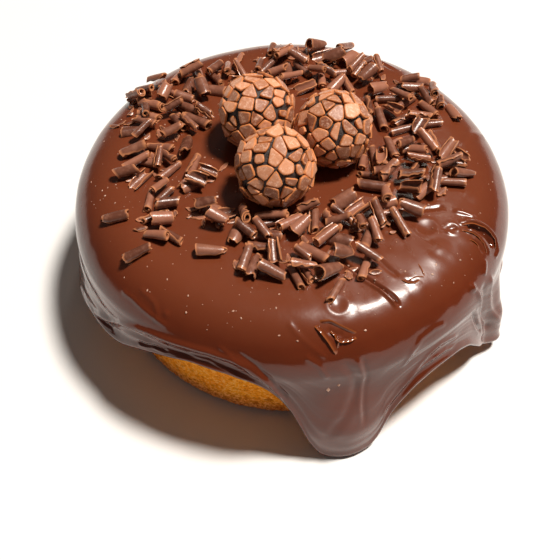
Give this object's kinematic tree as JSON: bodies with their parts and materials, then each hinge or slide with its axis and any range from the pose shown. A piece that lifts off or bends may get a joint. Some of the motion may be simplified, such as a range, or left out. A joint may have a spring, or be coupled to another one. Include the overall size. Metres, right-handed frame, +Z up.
{
  "type": "carrot cake",
  "caption": "Round carrot cake under glossy poured chocolate ganache, with a raised hem, drips to the base, chocolate curls and flaked truffle balls on top.",
  "frame": {"origin": "middle of the cake's flat underside", "axes": "+Z up through the middle of the cake; -Y towards the side with the broad drip, which is the side the picture shows; +X to the right in that view"},
  "size_m": [0.168, 0.1698, 0.0862],
  "materials": {
    "sponge": "dry, crumbly and matt",
    "ganache": "set from liquid, smooth and glossy; the curls on it are satin",
    "truffle": "satin flakes over a dull dark ball"
  },
  "bodies": {
    "root": {"carrot_sponge": "sponge", "chocolate_ganache": "ganache", "truffle_front": "truffle", "truffle_left": "truffle", "truffle_right": "truffle"}
  },
  "joints": []
}
